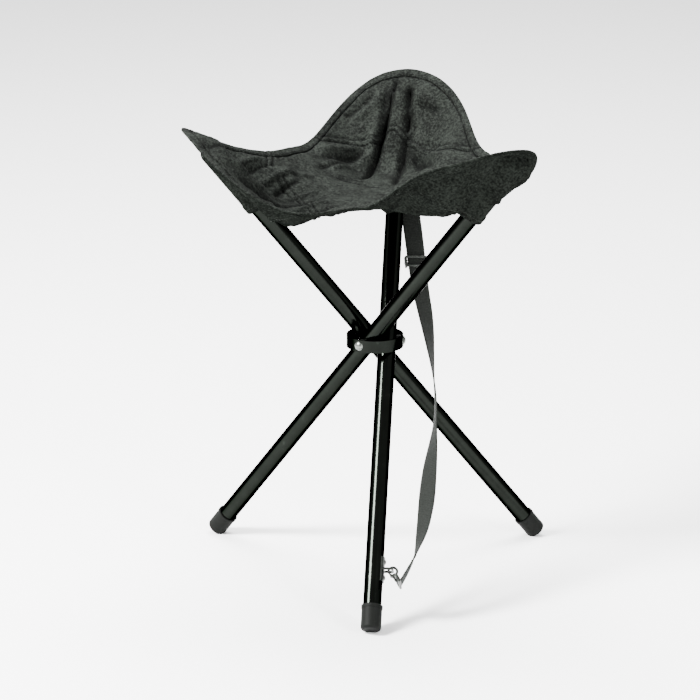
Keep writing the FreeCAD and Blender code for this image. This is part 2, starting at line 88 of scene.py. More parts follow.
# ---- The seat's cloth ------------------------------------------------
SEAT_CENTRE = 406.0 * MM
TUBE_CLEARANCE = 1.4 * MM
RIDGE_LIFT = TUBE_R + TUBE_CLEARANCE
RIDGE_KNEE = 173.0 * MM
RIDGE_SOFT = 6.0 * MM
KNEE_SOFT = 3.0 * MM
# How much of the tube's slope the cloth keeps past the tube's end, per corner c, a, b.
KNEE_SLOPE = np.array([0.5, 0.31, 0.3])
BOWL_POWER = 2.4
PETAL_POWER = 3
TWIST_FROM = 0.3
TIP_DROP_POWER = 16
TIP_DROP_NARROWNESS = 10
HELD_HALF_WIDTH = 26.0 * MM
HELD_FADE = 14.0 * MM
CLOTH = 1.2 * MM
CLOTH_THREAD = 0.75 * MM
HEM_WIDTH = 10.0 * MM
HEM_EXTRA = 1.0 * MM
HEM_STEP = 0.9 * MM
HEM_GROOVE_GAP = 1.0 * MM
HEM_STITCH_INSET = 1.8 * MM
# Where the seam across a corner's cloth runs: across the flat cloth, and out from the centre.
SEAM_LINE = {
    "c": [
        (-80, 122), (-53, 143), (-19, 148), (-12, 160), (2, 163), (12, 152), (29, 139), (67, 105), (95, 88)
    ],
    "a": [(-95, 72), (-60, 76), (-20, 78), (10, 76), (38, 82), (56, 92), (69, 98), (95, 88)],
    "b": [(-95, 90), (-55, 122), (-18, 148), (0, 158), (18, 148), (55, 122), (95, 90)],
}
SEAM_STEPS = 200
SEAM_EASE_STEPS = 15
SEAM_WIDTH = 6.4 * MM
SEAM_STEP = 1.2 * MM
SEAM_STITCH_SHARE = 0.34
SEAM_END = 1.5 * MM
SEAM_GROOVE = 1.3 * MM
GROOVE_DEPTH = 1.9 * MM
# Painted shade: how dark the seam and hem grooves are painted, and how deep a fold's hollow is where its
# painted shade is full.
GROOVE_SHADE = 0.8
SHADE_FOLD_DEPTH = 6.0 * MM
CRISP_ANGLE = math.radians(75)

# ---- The seat's folds ------------------------------------------------
FOLD_FADE_IN = 0.25
FOLD_FADE_OUT = 0.35
# Each corner's folds, in millimetres on the flat cloth: from (out from the centre, across) to
# (out, across), half width, height. Across is positive towards the leg's outward side.
FOLDS = {
    "c": [
        ((140, -13), (240, -4), 3.0, -7.5),
        ((66, -27), (182, -10), 3.4, -7.5),
        ((96, -34), (176, -22), 5.0, 3.0),
        ((52, 11), (158, 12), 3.6, -4.6),
        ((185, 12), (222, 16), 3.4, -3.2),
        ((158, 13), (188, 21), 3.0, -3.4),
        ((150, 10), (166, 24), 2.4, 2.6),
        ((146, 20), (172, 26), 2.4, -2.6),
        ((196, 22), (178, 62), 3.6, -3.2),
        ((210, 20), (186, 44), 5.0, 3.0),
        ((150, 22), (70, 72), 4.5, 4.2),
        ((140, 18), (66, 58), 4.0, -4.0),
        ((80, -78), (152, -16), 5.0, -4.2),
        ((96, -84), (150, -34), 4.5, 3.2),
        ((66, -60), (140, -26), 4.5, 3.4),
        ((58, -74), (118, -34), 4.0, -3.4),
        ((58, -66), (44, 16), 5.0, -3.8),
        ((168, -66), (208, -26), 4.0, -3.2),
        ((172, -50), (200, -18), 5.0, 2.8),
        ((120, 60), (150, 30), 4.0, -2.2),
    ],
    "a": [
        ((48, 58), (246, -34), 3.6, -4.6),
        ((60, 70), (250, -14), 4.0, 4.4),
        ((40, 40), (226, -46), 3.6, 4.2),
        ((36, 24), (206, -54), 3.4, -4.4),
        ((34, 6), (188, -60), 3.8, 4.0),
        ((76, 80), (244, 2), 3.4, -4.0),
        ((30, -12), (166, -64), 3.6, -3.8),
        ((88, 88), (226, 20), 3.6, 3.6),
        ((40, 66), (96, 60), 4.0, 3.0),
    ],
    "b": [
        ((60, 40), (190, 30), 8.0, 2.4),
        ((70, 70), (170, 56), 6.0, -2.6),
        ((60, -40), (180, -34), 8.0, 2.4),
        ((90, -10), (170, -22), 5.0, -2.6),
        ((50, 10), (120, 22), 7.0, 2.2),
        ((40, -50), (120, -70), 5.0, -2.8),
        ((30, 26), (96, 60), 4.0, -2.8),
    ],
}
# The cloth dips at both sides of the tube, from near the bowl to near the tip.
HUG_DEPTH = {"c": 6.0 * MM, "a": 4.0 * MM, "b": 4.0 * MM}
HUG_OFFSET = 15.5 * MM
HUG_WIDTH = 5.5 * MM
HUG_START = 95.0 * MM
HUG_START_FADE = 45.0 * MM
HUG_END = 232.0 * MM
HUG_END_FADE = 40.0 * MM
# Fine crumple: wide waves, ridges and small dents, each as waves per metre and height. The ridges
# are shifted so that they don't line up with the waves.
WIDE_WAVES = (22.0, 1.7 * MM)
RIDGED_WAVES = (48.0, 1.3 * MM)
SMALL_WAVES = (130.0, 0.45 * MM)
RIDGED_SHIFT = (7.3, 1.9, 4.1)
# Where folds and crumple calm down: at the edges between corners, at the centre and at the hem.
MEETING_ANGLE = math.radians(14)
CENTRE_CALM = 30.0 * MM
HEM_CALM = 16.0 * MM
HEM_CALM_SHARE = 0.4

# ---- The seat's mesh and its flat size ------
DIRECTIONS = 540
INNER_RINGS = 150
HEM_RINGS = np.array([13.0, 11.8, 10.8, 10.2, 9.7, 9.2, 8.4, 7.0, 5.0, 3.0, 1.6, 0.8, 0.3, 0.0]) * MM
PROFILE_STEPS = 400

# ---- The pockets that hold the tubes' upper ends ---------------------
POCKET_OPENING = 203.0 * MM
POCKET_GAP = 0.5 * MM
POCKET_SLOPE = math.radians(60)
POCKET_STEPS = 60
POCKET_INSET = 3.2 * MM
POCKET_END = TUBE_TOP - 2 * MM
POCKET_END_LENGTH = 11.0 * MM
POCKET_UNDER_SEAT = 0.25 * MM
POCKET_SOFTNESS = 0.8 * MM
POCKET_WAVE = 0.5 * MM
POCKET_WAVE_LENGTH = 13.0 * MM
POCKET_WAVE_FROM = 18.0 * MM
POCKET_WAVE_FADE = 20.0 * MM
POCKET_CLOTH_THICKNESS = 0.8 * CLOTH
POCKET_EDGE_SHARE = 0.06
POCKET_EDGE_THINNESS = 0.05
POCKET_HEM_WIDTH = 8.0 * MM
POCKET_HEM_EXTRA = 0.9 * MM
POCKET_HEM_STEP = 1.2 * MM
POCKET_STITCH_SHARE = 0.05

# ---- Sewing ----------------------------------------------------------
STITCH_PITCH = 3.6 * MM
STITCH_LENGTH = 2.5 * MM
STITCH_R = 0.34 * MM
STITCH_SIDES = 6
# Along the stitch in its lengths, size and height above the cloth in its radii.
STITCH_RINGS = [(-0.5, 0.25, -0.5), (-0.42, 0.8, 0.1), (0.0, 1.0, 0.35), (0.42, 0.8, 0.1), (0.5, 0.25, -0.5)]

# ---- The strap's route: out from leg c's pivot, and along its tube -----
STRAP_ROUTE = [
    (11.6, 196.0),
    (12.0, 172.0),
    (19.5, 136.0),
    (30.5, 66.0),
    (40.5, 24.0),
    (48.5, -26.0),
    (55.0, -68.0),
    (54.5, -104.0),
    (51.5, -146.0),
    (50.0, -188.0),
    (46.5, -220.0),
    (39.5, -247.0),
    (27.3, -270.5),
]
STRAP_WIDTH = 20.0 * MM
STRAP_THICKNESS = 1.5 * MM
# Share of the strap's length and how far it has turned from facing across the leg.
STRAP_TWIST = [
    (0.0, 0.0),
    (0.13, 5.0),
    (0.35, 38.0),
    (0.45, 72.0),
    (0.52, 92.0),
    (0.62, 103.0),
    (0.72, 140.0),
    (0.79, 153.0),
    (0.87, 132.0),
    (0.93, 100.0),
    (0.97, 90.0),
    (1.0, 90.0),
]
STRAP_STEPS = 48
TWIST_EASE_STEPS = 61
WEB_SECTION = 10
WEB_CORD_PITCH = 1.6 * MM
WEB_WEAVE_PITCH = 1.9 * MM
RIB_PITCH = 2.0 * MM
RIB_REACH = 0.16 * MM
RIB_EDGE_POWER = 8
RIB_SWELL = 0.1
CORD_WAVES = 8.0
EDGE_ROUNDING = 0.55
EDGE_ROUNDING_POWER = 6
STRAP_SEWN_AT = (0.93, 0.945, 0.96, 0.975)
SEWN_WIDTH = 0.84 * STRAP_WIDTH
SEWN_STEPS = 30
SEWN_LIFT = 0.54 * STRAP_THICKNESS

# ---- The strap's adjuster --------------------------------------------
SLIDER_PLACE = (26.8, 89.8)
SLIDER_HALF_WIDTH = 12.1 * MM
SLIDER_HALF_LENGTH = 5.2 * MM
SLIDER_BAR_R = 1.15 * MM
SLIDER_RAIL_DEPTH = 3.2 * MM
SLIDER_BAR_LIFT = 2.7 * MM
BAR_SIDES = 16
BAR_SQUARENESS = 0.6
# Along the bar's end in its radii, and size.
BAR_RINGS = [(-1.0, 0.55), (-0.7, 0.85), (-0.2, 1.0), (0.2, 1.0), (0.7, 0.85), (1.0, 0.55)]

# ---- The view: camera, floor and lights ------------------------------
CAMERA_TURN = math.radians(5.12)
CAMERA_DROP = math.radians(16.78)
CAMERA_DISTANCE = 3.66
CAMERA_SIDE = -26.3 * MM
CAMERA_HEIGHT = 241.4 * MM
CAMERA_LENS = 178.4
CAMERA_SENSOR = 36.0
CAMERA_REACH = 30.0
FLOOR_HALF = 12.0
FLOOR_TONE = 0.94
SURROUND = 1.15
# Name, place, target, size in metres and power in watts; the places turn with the camera.
LIGHTS = [
    ("overhead", (0.1, 0.9, 2.5), (0.0, 0.2, 0.3), (1.8, 1.2), 190),
    ("key", (-1.9, -0.8, 1.9), (0.0, 0.0, 0.35), (0.7, 0.9), 460),
    ("side", (1.3, -1.5, 0.9), (0.0, 0.0, 0.25), (0.08, 1.2), 70),
]


# ---- Small helpers ---------------------------------------------------


def leg_axes(letter):
    """Outwards from the stool's axis, along the leg's tube, and out of the tube's upper side."""
    angle = math.radians(LEG_ANGLES[letter])
    out = np.array([math.cos(angle), math.sin(angle), 0.0])
    tangent = np.array([-math.sin(angle), math.cos(angle), 0.0])
    along = SIN_TILT * tangent + COS_TILT * UP
    upper = -COS_TILT * tangent + SIN_TILT * UP
    return out, along, upper


def leg_origin(letter):
    return leg_axes(letter)[0] * PIVOT_RADIUS + UP * PIVOT_HEIGHT


def to_leg(letter, points):
    """Points as (along the tube, across it, above it) from the leg's pivot."""
    out, along, upper = leg_axes(letter)
    offset = points - leg_origin(letter)
    return offset @ along, offset @ out, offset @ upper


def soft_ramp(x, softness):
    """Zero below 0 and x above it, with a soft corner."""
    return softness * np.logaddexp(0.0, x / softness)


def smooth(x):
    x = np.clip(x, 0.0, 1.0)
    return x * x * (3 - 2 * x)


def bell(x):
    return np.exp(-(x**2))


def soft_min(a, b, softness):
    return -softness * np.logaddexp(-a / softness, -b / softness)


def eased(values, steps):
    """A row of values averaged over a window of steps, an odd number."""
    window = np.hanning(steps)
    padded = np.pad(values, steps // 2, mode="edge")
    return np.convolve(padded, window / window.sum(), mode="valid")


def link(name, mesh):
    made = bpy.data.objects.new(name, mesh)
    bpy.context.scene.collection.objects.link(made)
    return made


def make_mesh(name, points, faces, uv=None):
    """A smooth-shaded mesh object; uv has one pair of metres for each point."""
    mesh = bpy.data.meshes.new(name)
    mesh.from_pydata(np.asarray(points).tolist(), [], faces)
    mesh.validate()
    mesh.shade_smooth()
    if uv is not None:
        layer = mesh.uv_layers.new(name="cloth")
        corner_points = np.empty(len(mesh.loops), np.int32)
        mesh.loops.foreach_get("vertex_index", corner_points)
        layer.data.foreach_set("uv", np.asarray(uv)[corner_points].astype(np.float32).ravel())
    return link(name, mesh)


def grid_faces(rows, columns, start=0, flip=False):
    """Quads over a grid of rows times columns of points."""
    faces = []
    for i in range(rows - 1):
        for j in range(columns - 1):
            a = start + i * columns + j
            quad = (a, a + 1, a + columns + 1, a + columns)
            faces.append(quad[::-1] if flip else quad)
    return faces


def tube_faces(rings, sides, start=0):
    """Faces of a closed tube over rings of points, with a face over each end."""
    faces = []
    for r in range(rings - 1):
        for k in range(sides):
            a = start + r * sides + k
            c = start + r * sides + (k + 1) % sides
            faces.append((a, a + sides, c + sides, c))
    faces.append(tuple(start + k for k in range(sides)))
    faces.append(tuple(start + (rings - 1) * sides + k for k in range(sides))[::-1])
    return faces


def surface_normals(grid):
    """Unit normals of a grid of points, from the differences along both ways."""
    first = np.gradient(grid, axis=0)
    second = np.gradient(grid, axis=1)
    normal = np.cross(first, second)
    size = np.linalg.norm(normal, axis=2, keepdims=True)
    return normal / np.maximum(size, 1e-12)


# ---- Materials -------------------------------------------------------

# How green bare steel is, as a share of the cloth's and the enamel's tint: dull patches, then the rest.
STEEL_TINTS = (0.2, 0.1)


class Nodes:
    """A material's node tree with short ways to add and join nodes."""

    def __init__(self, name):
        self.material = bpy.data.materials.new(name)
        self.material.use_nodes = True
        self.tree = self.material.node_tree
        self.shader = self.tree.nodes["Principled BSDF"]

    def add(self, kind, **values):
        """A new node; each value sets the node's own property, or else its input of that name."""
        node = self.tree.nodes.new(kind)
        for key, value in values.items():
            if hasattr(node, key):
                setattr(node, key, value)
            else:
                node.inputs[key.replace("_", " ")].default_value = value
        return node

    def join(self, source, target):
        self.tree.links.new(source, target)

    def set(self, name, value):
        """Sets an input of the shader, to a plain value or to another node's output."""
        if isinstance(value, bpy.types.NodeSocket):
            self.join(value, self.shader.inputs[name])
        else:
            self.shader.inputs[name].default_value = value

    def own_place(self):
        return self.add("ShaderNodeTexCoord").outputs["Object"]

    def noise(self, scale, **values):
        """Noise over the piece, of so many waves per metre."""
        node = self.add("ShaderNodeTexNoise", Scale=scale, **values)
        self.join(self.own_place(), node.inputs["Vector"])
        return node.outputs["Fac"]

    def math(self, operation, first, second):
        node = self.add("ShaderNodeMath", operation=operation)
        for socket, value in zip(node.inputs, (first, second)):
            if isinstance(value, (int, float)):
                socket.default_value = value
            else:
                self.join(value, socket)
        return node.outputs[0]

    def ramp(self, factor, stops, tints=None):
        """Near-black green-greys by factor; stops are (position, lightness), tints one per stop."""
        tints = tints or [1.0] * len(stops)
        node = self.add("ShaderNodeValToRGB")
        elements = node.color_ramp.elements
        while len(elements) < len(stops):
            elements.new(0.5)
        for element, (position, level), tint in zip(elements, stops, tints):
            element.position = position
            element.color = (level * 0.93, level * (1.0 + 0.08 * tint), level * 0.92, 1.0)
        self.join(factor, node.inputs["Fac"])
        return node.outputs["Color"]

    def bump(self, height, strength, distance, before=None):
        node = self.add("ShaderNodeBump", Strength=strength, Distance=distance)
        self.join(height, node.inputs["Height"])
        if before is not None:
            self.join(before, node.inputs["Normal"])
        return node.outputs["Normal"]

    def spread(self, factor, low, high):
        node = self.add("ShaderNodeMapRange")
        node.inputs["To Min"].default_value = low
        node.inputs["To Max"].default_value = high
        self.join(factor, node.inputs["Value"])
        return node.outputs["Result"]


def cloth_material(name, level, mottle, shine):
    """Plain woven cloth: crossed threads from the flat pattern, mottling, and painted shade in creases and
    grooves.
    """
    n = Nodes(name)
    uv = n.add("ShaderNodeUVMap", uv_map="cloth").outputs["UV"]
    split = n.add("ShaderNodeSeparateXYZ")
    n.join(uv, split.inputs[0])
    turns = 2 * math.pi / CLOTH_THREAD
    warp = n.math("SINE", n.math("MULTIPLY", split.outputs[0], turns), 0.0)
    weft = n.math("SINE", n.math("MULTIPLY", split.outputs[1], turns), 0.0)
    weave = n.math("MULTIPLY", warp, weft)
    cloud = n.noise(38.0, Detail=6.0, Roughness=0.65)
    grain = n.noise(400.0, Detail=4.0, Roughness=0.8)
    slub = n.noise(150.0, Detail=4.0, Roughness=0.6)
    clouds = n.math("MULTIPLY", cloud, 0.25)
    blend = n.math("ADD", clouds, n.math("MULTIPLY", grain, 0.75))
    # Painted shade: the colour darkens in the seat's creases and grooves.
    crease = n.add("ShaderNodeAttribute", attribute_name="crease").outputs["Fac"]
    woven = n.math("ADD", blend, n.math("MULTIPLY", weave, 0.05))
    tone = n.math("SUBTRACT", woven, n.math("MULTIPLY", crease, 0.11))
    stops = [(0.44, level * (1 - mottle)), (0.505, level), (0.57, level * (1 + 1.3 * mottle))]
    n.set("Base Color", n.ramp(tone, stops))
    n.set("Roughness", n.spread(slub, 0.62, 0.86))
    n.set("Specular IOR Level", shine)
    rough = n.bump(slub, 0.35, 0.6 * MM)
    fine = n.bump(grain, 0.4, 0.25 * MM, rough)
    n.set("Normal", n.bump(weave, 0.6, 0.16 * MM, fine))
    return n.material


def paint_material(name, level, roughness, dust_level):
    """Baked black enamel on steel, as bright at every angle: slight orange peel and fine dust."""
    n = Nodes(name)
    peel = n.noise(480.0, Detail=2.0, Roughness=0.5)
    dust = n.noise(55.0, Detail=8.0, Roughness=0.7)
    stops = [(0.35, level * 0.8), (0.62, level), (0.8, dust_level)]
    n.set("Base Color", n.ramp(dust, stops))
    n.set("Roughness", n.spread(dust, roughness * 0.75, roughness * 1.35))
    n.set("Metallic", 1.0)
    n.set("Specular Tint", (0.0, 0.0, 0.0, 1.0))
    n.set("Normal", n.bump(peel, 0.12, 0.3 * MM))
    return n.material


def steel_material(name, level, roughness):
    """Plated steel wire and rivet heads with fine turning marks and dull patches."""
    n = Nodes(name)
    patch = n.noise(210.0, Detail=5.0, Roughness=0.6)
    marks = n.noise(1500.0, Detail=2.0)
    stops = [(0.3, level * 0.6), (0.65, level)]
    n.set("Base Color", n.ramp(patch, stops, STEEL_TINTS))
    n.set("Metallic", 1.0)
    n.set("Roughness", n.spread(patch, roughness * 0.7, roughness * 1.4))
    n.set("Normal", n.bump(marks, 0.15, 0.1 * MM))
    return n.material


def rubber_material(name, level):
    """Moulded rubber, matt, with dust in its texture and scuffs."""
    n = Nodes(name)
    skin = n.noise(900.0, Detail=3.0, Roughness=0.6)
    dust = n.noise(90.0, Detail=7.0, Roughness=0.7)
    stops = [(0.35, level * 0.75), (0.6, level), (0.8, level * 1.5)]
    n.set("Base Color", n.ramp(dust, stops))
    n.set("Roughness", 0.6)
    n.set("Specular IOR Level", 0.06)
    n.set("Normal", n.bump(skin, 0.35, 0.2 * MM))
    return n.material


def plastic_material(name, level, roughness):
    """Moulded plastic with a fine spark-eroded grain."""
    n = Nodes(name)
    grain = n.add("ShaderNodeTexVoronoi", Scale=2200.0)
    n.join(n.own_place(), grain.inputs["Vector"])
    haze = n.noise(120.0, Detail=5.0)
    stops = [(0.3, level * 0.8), (0.7, level * 1.15)]
    n.set("Base Color", n.ramp(haze, stops))
    n.set("Roughness", n.spread(haze, roughness * 0.85, roughness * 1.2))
    n.set("Specular IOR Level", 0.2)
    n.set("Normal", n.bump(grain.outputs["Distance"], 0.12, 0.15 * MM))
    return n.material


def webbing_material(name, level):
    """Woven strap: ribs across it, long cords and a few fuzzy lighter threads."""
    n = Nodes(name)
    uv = n.add("ShaderNodeUVMap", uv_map="cloth").outputs["UV"]
    split = n.add("ShaderNodeSeparateXYZ")
    n.join(uv, split.inputs[0])
    cords = n.math("SINE", n.math("MULTIPLY", split.outputs[1], 2 * math.pi / WEB_CORD_PITCH), 0.0)
    slant = n.math("ADD", split.outputs[0], n.math("MULTIPLY", n.math("ABSOLUTE", cords, 0.0), 0.5 * MM))
    ribs = n.math("SINE", n.math("MULTIPLY", slant, 2 * math.pi / WEB_WEAVE_PITCH), 0.0)
    fuzz = n.noise(700.0, Detail=4.0, Roughness=0.7)
    weave = n.math("ADD", n.math("MULTIPLY", ribs, 0.5), n.math("MULTIPLY", cords, 0.35))
    tone = n.math("ADD", n.math("MULTIPLY", weave, 0.22), fuzz)
    stops = [(0.2, level * 0.55), (0.5, level), (0.8, level * 1.4)]
    n.set("Base Color", n.ramp(tone, stops))
    n.set("Roughness", 0.78)
    n.set("Specular IOR Level", 0.08)
    n.set("Sheen Weight", 0.02)
    fine = n.bump(fuzz, 0.4, 0.25 * MM)
    n.set("Normal", n.bump(weave, 0.8, 0.3 * MM, fine))
    return n.material


def thread_material(name, level):
    """Sewing thread: two plies that catch the light."""
    n = Nodes(name)
    ply = n.noise(1800.0, Detail=2.0)
    stops = [(0.35, level * 0.7), (0.65, level * 1.2)]
    n.set("Base Color", n.ramp(ply, stops))
    n.set("Roughness", 0.6)
    n.set("Specular IOR Level", 0.03)
    n.set("Normal", n.bump(ply, 0.5, 0.1 * MM))
    return n.material


SEAT_CLOTH = cloth_material("seat_cloth_top", 0.0078, 0.75, 0.03)
# A darker copy of the seat cloth with no shine, for the seat's underside: painted shade.
SEAT_UNDERSIDE_SHADE = cloth_material("seat_cloth_underside_painted_shade", 0.006, 0.6, 0.0)
# A darker copy of the seat cloth with no shine, for the pockets under the seat: painted shade.
POCKET_CLOTH_SHADE = cloth_material("seat_cloth_pocket_painted_shade", 0.006, 0.6, 0.0)
TUBE_PAINT = paint_material("tube_paint_gloss", 0.0088, 0.13, 0.025)
RING_PAINT = paint_material("ring_paint_satin", 0.0068, 0.16, 0.025)
RIVET_STEEL = steel_material("rivet_steel_plated", 0.14, 0.3)
FITTING_STEEL = steel_material("fitting_steel_dark", 0.04, 0.3)
FOOT_RUBBER = rubber_material("foot_rubber_moulded", 0.003)
PLUG_PLASTIC = plastic_material("plug_plastic_matt", 0.006, 0.5)
SLIDER_PLASTIC = plastic_material("slider_plastic_satin", 0.016, 0.3)
WEBBING = webbing_material("strap_webbing_woven", 0.0078)
THREAD = thread_material("seam_thread", 0.004)
# A lighter thread, for the pockets' hems and the strap's sewing.
THREAD_LIGHTER = thread_material("seam_thread_light", 0.02)


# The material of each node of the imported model, by how its name starts.
NODE_MATERIALS = {
    "hub_ring": RING_PAINT,
    "leg_tube": TUBE_PAINT,
    "foot_cap": FOOT_RUBBER,
    "top_plug": PLUG_PLASTIC,
    "pivot_rivet": RIVET_STEEL,
    "pivot_spacer": PLUG_PLASTIC,
    "seat_pocket": SEAT_CLOTH,
    "seat_panel": SEAT_CLOTH,
    "strap_slider": SLIDER_PLASTIC,
    "strap_eye_rivets": RIVET_STEEL,
    "strap_eye": FITTING_STEEL,
    "strap": WEBBING,
    "hook": FITTING_STEEL,
    "gate": FITTING_STEEL,
}


def finish_cad_nodes():
    """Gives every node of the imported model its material."""
    for name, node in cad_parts.items():
        material = next(made for start, made in NODE_MATERIALS.items() if name.startswith(start))
        node.data.materials.clear()
        node.data.materials.append(material)


# ---- The seat's surface ----------------------------------------------


def sector_of(direction):
    """Index of the nearest corner, the angle from it, and the index of the edge."""
    turned = np.mod(direction - CORNER_AZIMUTH, 2 * math.pi)
    nearest = np.rint(turned / SECTOR).astype(int)
    return nearest % 3, turned - SECTOR * nearest, (turned // SECTOR).astype(int) % 3


def hem_line(direction):
    """Plan azimuth, plan radius and height of the hem in each direction."""
    corner, angle, edge = sector_of(direction)
    near = np.cos(1.5 * angle)
    side = np.sin(3 * angle) * near
    radius = HEM_RADIUS + HEM_LOBE * np.cos(3 * angle) + HEM_SQUARE * np.cos(6 * angle)
    radius += TIP_REACH[corner] * near**2 + TIP_SIDE[corner] * side + EDGE_BOW[edge] * (1 - near) ** 2
    azimuth = direction + TIP_TURN[corner] * near**2
    tip_share = np.abs(near) ** TIP_SHARPNESS[corner]
    height = EDGE_HEIGHT[edge] + (TIP_HEIGHT[corner] - EDGE_HEIGHT[edge]) * tip_share
    height += TIP_TWIST[corner] * side + TIP_CURL[corner] * np.sin(6 * angle) * near
    return azimuth, radius, height


def over_leg(corner, x, y):
    """How far points lie along a corner's leg in plan, and how far across it."""
    angle = np.radians([LEG_ANGLES[letter] for letter in CORNERS])[corner]
    along = np.cos(angle) * y - np.sin(angle) * x
    return along, np.cos(angle) * x + np.sin(angle) * y - PIVOT_RADIUS


def petal_height(corner, x, y):
    """Height of the cloth on a tube's upper side: it rises from the bowl and levels near the end."""
    along, _ = over_leg(corner, x, y)
    foot = (SEAT_CENTRE - PIVOT_HEIGHT - RIDGE_LIFT / SIN_TILT) * math.tan(LEG_TILT)
    rise = soft_ramp(along - foot, RIDGE_SOFT)
    rise -= (1 - KNEE_SLOPE[corner]) * soft_ramp(along - RIDGE_KNEE, KNEE_SOFT)
    return SEAT_CENTRE + rise / math.tan(LEG_TILT)


def smooth_seat(direction, share):
    """Points of the seat without folds; share goes from 0 at the centre to 1 at the hem."""
    corner, angle, edge = sector_of(direction)
    azimuth, radius, rim = hem_line(direction)
    rim_x = radius * np.cos(azimuth)
    rim_y = radius * np.sin(azimuth)
    x = share * rim_x
    y = share * rim_y
    near = np.cos(1.5 * angle)
    petal_share = (near**2 * (2 - near**2)) ** PETAL_POWER
    bowl = SEAT_CENTRE + (EDGE_HEIGHT[edge] - SEAT_CENTRE) * share**BOWL_POWER
    height = petal_share * petal_height(corner, x, y) + (1 - petal_share) * bowl
    at_rim = petal_share * petal_height(corner, rim_x, rim_y) + (1 - petal_share) * EDGE_HEIGHT[edge]
    centre = CORNER_AZIMUTH + SECTOR * corner
    tip_drop = TIP_HEIGHT[corner] - petal_height(corner, radius * np.cos(centre), radius * np.sin(centre))
    tip_drop *= near**TIP_DROP_NARROWNESS
    along, across = over_leg(corner, x, y)
    held = np.exp(-((across / HELD_HALF_WIDTH) ** 4)) * (1 - smooth((along - RIDGE_KNEE) / HELD_FADE))
    height += tip_drop * share**TIP_DROP_POWER
    height += (rim - at_rim - tip_drop) * smooth((share - TWIST_FROM) / (1 - TWIST_FROM)) * (1 - held)
    return np.stack([x, y, height], axis=-1)


def seat_stations():
    """Directions round the seat, and for each the shares of its rings, evenly spaced along the cloth."""
    direction = CORNER_AZIMUTH - SECTOR / 2 + np.arange(DIRECTIONS + 1) * (2 * math.pi / DIRECTIONS)
    fine = np.linspace(0.0, 1.0, PROFILE_STEPS)
    points = smooth_seat(direction[:, None] + 0 * fine, fine[None, :] + 0 * direction[:, None])
    steps = np.linalg.norm(np.diff(points, axis=1), axis=2)
    length = np.concatenate([np.zeros((len(direction), 1)), np.cumsum(steps, axis=1)], axis=1)
    shares = []
    reached = []
    for along in length:
        inner = np.linspace(0.0, 1.0, INNER_RINGS, endpoint=False) * (along[-1] - HEM_RINGS[0])
        wanted = np.concatenate([inner, along[-1] - HEM_RINGS])
        shares.append(np.interp(wanted, along, fine))
        reached.append(wanted)
    return direction, np.array(shares), np.array(reached)


def one_fold(e, b, start, end, width, height):
    """A fold between two places of a corner's flat cloth, fading out at both ends."""
    start = np.array(start) * MM
    run = np.array(end) * MM - start
    length = np.linalg.norm(run)
    along = ((e - start[0]) * run[0] + (b - start[1]) * run[1]) / length**2
    across = (-(e - start[0]) * run[1] + (b - start[1]) * run[0]) / length
    fade = smooth(along / FOLD_FADE_IN) * smooth((1 - along) / FOLD_FADE_OUT)
    return height * MM * bell(across / (width * MM)) * fade


def fold_height(letter, e, b):
    """How far the folds and the tube under the cloth push it up, over a corner's flat cloth."""
    height = np.zeros_like(e)
    for fold in FOLDS[letter]:
        height += one_fold(e, b, *fold)
    held = smooth((e - HUG_START) / HUG_START_FADE) * smooth((HUG_END - e) / HUG_END_FADE)
    height -= HUG_DEPTH[letter] * bell((np.abs(b) - HUG_OFFSET) / HUG_WIDTH) * held
    return height


def crumple(points):
    """Fine uneven cloth: wide soft waves and small crumples, the same on every run."""
    flat = points.reshape(-1, 3)
    waves = np.empty(len(flat))
    for i, p in enumerate(flat):
        place = Vector(p)
        wide = noise.noise(place * WIDE_WAVES[0])
        ridged = 1.0 - 2.0 * abs(noise.noise(place * RIDGED_WAVES[0] + Vector(RIDGED_SHIFT)))
        small = noise.noise(place * SMALL_WAVES[0])
        waves[i] = WIDE_WAVES[1] * wide + RIDGED_WAVES[1] * ridged + SMALL_WAVES[1] * small
    return waves.reshape(points.shape[:2])


def from_seam(letter, e, b):
    """Signed distance of places on a corner's flat cloth from the seam that runs across it."""
    across, out = np.array(SEAM_LINE[letter]).T * MM
    fine = np.linspace(across[0], across[-1], SEAM_STEPS)
    line = eased(np.interp(fine, across, out), SEAM_EASE_STEPS)
    slope = np.gradient(line, fine)
    return (e - np.interp(b, fine, line)) / np.sqrt(1 + np.interp(b, fine, slope) ** 2)


def off_the_tube(letter, points):
    """Pushes cloth that would cut into a corner's tube out to lie on it."""
    _, _, upper = leg_axes(letter)
    station, across, above = to_leg(letter, points)
    past_end = np.clip((station - TUBE_TOP) / TUBE_R, 0.0, 1.0)
    clear = (TUBE_R + TUBE_CLEARANCE) * np.sqrt(1 - past_end**2)
    lift = np.sqrt(np.clip(clear**2 - across**2, 0.0, None)) - above
    lift = np.where((above > 0) & (np.abs(across) < clear), np.maximum(lift, 0.0), 0.0)
    return points + lift[..., None] * upper


def upward_normals(points):
    """Unit normals of the seat's rings, straight up at the centre where all the rings meet."""
    normal = -surface_normals(points)
    normal[:, 0] = UP
    return normal


def flat_place(reached, angle):
    """Where points lie on a corner's flat cloth: out from the centre, and across."""
    return reached * np.cos(angle)[:, None], -reached * np.sin(angle)[:, None]


